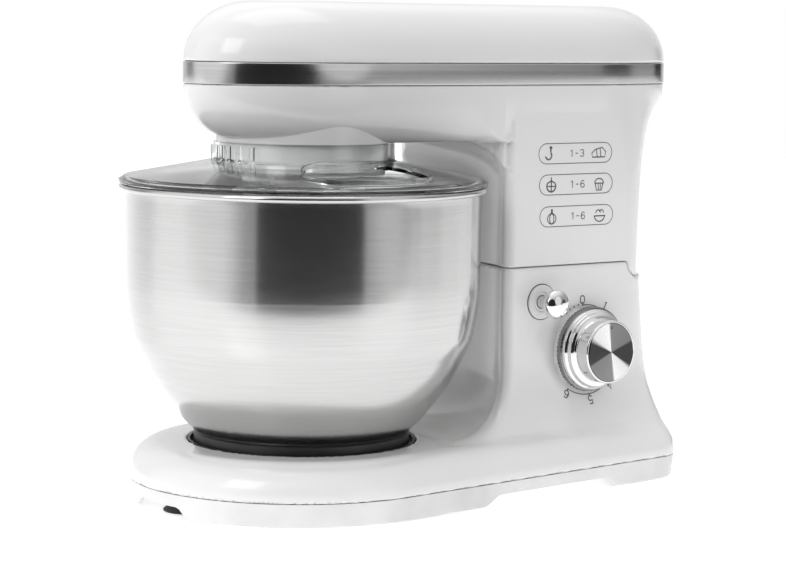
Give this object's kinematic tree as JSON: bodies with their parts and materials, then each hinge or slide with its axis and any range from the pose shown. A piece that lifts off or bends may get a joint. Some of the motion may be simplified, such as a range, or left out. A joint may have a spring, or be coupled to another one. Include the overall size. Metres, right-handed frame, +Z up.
{
  "type": "stand mixer",
  "caption": "Tilt-head stand mixer with a steel bowl, clear splash lid with feed chute, planetary beater, speed dial and head lock knob.",
  "frame": {"origin": "on the table, under the middle of the machine's outer box", "axes": "+X from the bowl to the rear column, +Z up, the control side faces -Y"},
  "size_m": [0.4043, 0.231, 0.3118],
  "materials": {
    "white_gloss": "glossy moulded white plastic",
    "white_satin": "satin moulded white plastic",
    "brushed_band": "brushed along the head",
    "bowl_steel": "spun and brushed round the bowl",
    "black_rubber": "soft black rubber",
    "black_plastic": "black moulded plastic",
    "knob_chrome": "polished plating",
    "knob_grey": "knurled grey ring",
    "knob_spun": "spun disc with radial sheen",
    "lid_clear": "clear moulded plastic",
    "frame_steel": "plain sheet steel",
    "pin_steel": "ground steel",
    "gearbox_alloy": "die-cast alloy",
    "bronze": "sintered bronze",
    "copper": "enamelled copper wire",
    "carbon": "carbon graphite",
    "board_green": "circuit board",
    "fan_grey": "grey moulded plastic"
  },
  "bodies": {
    "base": {"base_housing": "white_gloss", "base_tray": "white_satin", "suction_feet": "black_rubber", "bowl_seat": "black_plastic", "hinge_bracket": "frame_steel", "upright_frame": "frame_steel", "hinge_pin": "pin_steel", "tray_screws": "pin_steel", "speed_switch": "black_plastic", "control_board": "board_green", "cord_inlet": "black_plastic", "terminal_block": "black_plastic", "interlock_switch": "black_plastic", "lock_escutcheon": "white_gloss", "lock_guide": "frame_steel", "lock_spring": "pin_steel"},
    "lock_button": {"lock_knob": "knob_chrome", "lock_rod": "pin_steel"},
    "speed_knob": {"knob_ring": "knob_grey", "knob_body": "knob_chrome", "knob_face": "knob_spun", "switch_shaft": "pin_steel"},
    "head": {"head_top_cover": "white_gloss", "trim_band": "brushed_band", "head_lower_housing": "white_gloss", "hinge_plug": "white_gloss", "hub_collar": "white_gloss", "ring_gear": "pin_steel", "gearbox_frame": "gearbox_alloy", "gearbox_cover": "gearbox_alloy", "shaft_bushes": "bronze", "chassis_plate": "frame_steel", "motor_bracket_front": "frame_steel", "motor_bracket_rear": "frame_steel", "motor_bearings": "pin_steel", "motor_stator": "pin_steel", "field_coils": "copper", "brush_holders": "black_plastic", "carbon_brushes": "carbon", "latch_catch": "frame_steel", "head_screws": "pin_steel"},
    "motor_rotor": {"worm_shaft": "pin_steel", "armature_core": "pin_steel", "armature_windings": "copper", "commutator": "black_plastic", "cooling_fan": "fan_grey"},
    "lay_gear": {"lay_shaft": "pin_steel", "worm_wheel": "bronze", "lay_pinion": "pin_steel"},
    "planet_drive": {"spur_gear": "pin_steel", "drive_shaft": "pin_steel", "planet_carrier": "white_satin"},
    "beater": {"planet_pinion": "pin_steel", "beater_spindle": "pin_steel", "spindle_pin": "pin_steel", "flat_beater": "gearbox_alloy"},
    "lid": {"splash_lid": "lid_clear"},
    "bowl": {"mixing_bowl": "bowl_steel", "bowl_foot_ring": "black_plastic"}
  },
  "joints": [
    {"name": "head_tilt", "type": "hinge", "parent": "base", "child": "head", "pos_m": [0.145, 0, 0.144], "axis": [0, 1, 0], "range_deg": [0, 35]},
    {"name": "lock_press", "type": "slide", "parent": "base", "child": "lock_button", "axis": [0, 1, 0], "range_m": [0, 0.005], "stiffness_N_per_m": 300, "springref_m": -0.002},
    {"name": "speed_turn", "type": "hinge", "parent": "base", "child": "speed_knob", "pos_m": [0.098, -0.07, 0.089], "axis": [0, -1, 0], "range_deg": [-222, 45]},
    {"name": "bowl_twist", "type": "hinge", "parent": "base", "child": "bowl", "pos_m": [-0.0865, 0, 0.04], "axis": [0, 0, 1], "range_deg": [-22, 0]},
    {"name": "lid_twist", "type": "hinge", "parent": "head", "child": "lid", "pos_m": [-0.0865, 0, 0.21], "axis": [0, 0, 1], "range_deg": [-20, 0]},
    {"name": "motor_spin", "type": "hinge", "parent": "head", "child": "motor_rotor", "pos_m": [0, 0, 0.27], "axis": [1, 0, 0], "continuous": true},
    {"name": "lay_spin", "type": "hinge", "parent": "head", "child": "lay_gear", "pos_m": [-0.04977, -0.026, 0.25], "axis": [0, 0, 1], "continuous": true},
    {"name": "planet_turn", "type": "hinge", "parent": "head", "child": "planet_drive", "pos_m": [-0.0865, 0, 0.24], "axis": [0, 0, 1], "continuous": true},
    {"name": "beater_spin", "type": "hinge", "parent": "planet_drive", "child": "beater", "pos_m": [-0.121, 0, 0.2], "axis": [0, 0, 1], "continuous": true}
  ],
  "couplings": [
    {"joint": "lay_spin", "follows": "motor_spin", "ratio": 0.03125},
    {"joint": "planet_turn", "follows": "motor_spin", "ratio": -0.0078125},
    {"joint": "beater_spin", "follows": "motor_spin", "ratio": 0.030273}
  ]
}
